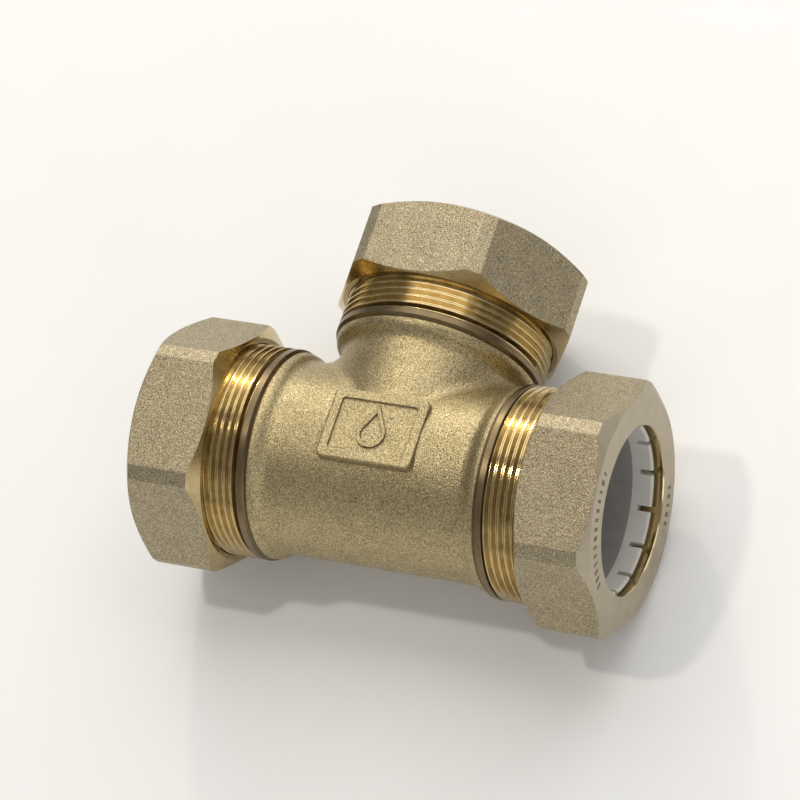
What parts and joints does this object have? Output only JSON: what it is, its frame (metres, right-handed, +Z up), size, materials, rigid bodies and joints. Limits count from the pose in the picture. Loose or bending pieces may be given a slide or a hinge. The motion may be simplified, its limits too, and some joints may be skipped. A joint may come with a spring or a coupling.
{
  "type": "push to connect fitting",
  "caption": "Equal tee in forged brass that takes push-in pipe at each port, held by a hexagon union nut over a slotted white grip ring.",
  "frame": {"origin": "where the run axis and the branch axis cross, in the middle of the body", "axes": "+X along the run towards the port seen open in the picture, +Y along the branch, +Z up through the badge, square to both"},
  "size_m": [0.0992, 0.075, 0.051],
  "materials": {
    "body_brass": "blasted forging with machined threads",
    "nut_brass": "blasted flats, turned chamfers and bore",
    "grip_ring_acetal": "satin, moulded",
    "thrust_ring_acetal": "satin, moulded",
    "washer_steel": "pressed",
    "seal_rubber": "matte"
  },
  "bodies": {
    "body": {"tee_body": "body_brass", "right_backing_washer": "washer_steel", "right_seal_ring": "seal_rubber", "left_backing_washer": "washer_steel", "left_seal_ring": "seal_rubber", "branch_backing_washer": "washer_steel", "branch_seal_ring": "seal_rubber"},
    "right_clamp": {"right_grip_ring": "grip_ring_acetal", "right_thrust_ring": "thrust_ring_acetal"},
    "right_nut": {"right_nut": "nut_brass"},
    "left_clamp": {"left_grip_ring": "grip_ring_acetal", "left_thrust_ring": "thrust_ring_acetal"},
    "left_nut": {"left_nut": "nut_brass"},
    "branch_clamp": {"branch_grip_ring": "grip_ring_acetal", "branch_thrust_ring": "thrust_ring_acetal"},
    "branch_nut": {"branch_nut": "nut_brass"}
  },
  "joints": [
    {"name": "right_nut_travel", "type": "slide", "parent": "body", "child": "right_clamp", "axis": [1, 0, 0], "range_m": [-0.0015, 0.006]},
    {"name": "right_nut_screw", "type": "hinge", "parent": "right_clamp", "child": "right_nut", "pos_m": [0.0415, 0, 0], "axis": [1, 0, 0], "range_deg": [-360, 1440]},
    {"name": "left_nut_travel", "type": "slide", "parent": "body", "child": "left_clamp", "axis": [-1, 0, 0], "range_m": [-0.0015, 0.006]},
    {"name": "left_nut_screw", "type": "hinge", "parent": "left_clamp", "child": "left_nut", "pos_m": [-0.0415, 0, 0], "axis": [-1, 0, 0], "range_deg": [-360, 1440]},
    {"name": "branch_nut_travel", "type": "slide", "parent": "body", "child": "branch_clamp", "axis": [0, 1, 0], "range_m": [-0.0015, 0.006]},
    {"name": "branch_nut_screw", "type": "hinge", "parent": "branch_clamp", "child": "branch_nut", "pos_m": [0, 0.0415, 0], "axis": [0, 1, 0], "range_deg": [-360, 1440]}
  ],
  "couplings": [
    {"joint": "right_nut_travel", "follows": "right_nut_screw", "m_per_rad": 0.00023873},
    {"joint": "left_nut_travel", "follows": "left_nut_screw", "m_per_rad": 0.00023873},
    {"joint": "branch_nut_travel", "follows": "branch_nut_screw", "m_per_rad": 0.00023873}
  ]
}
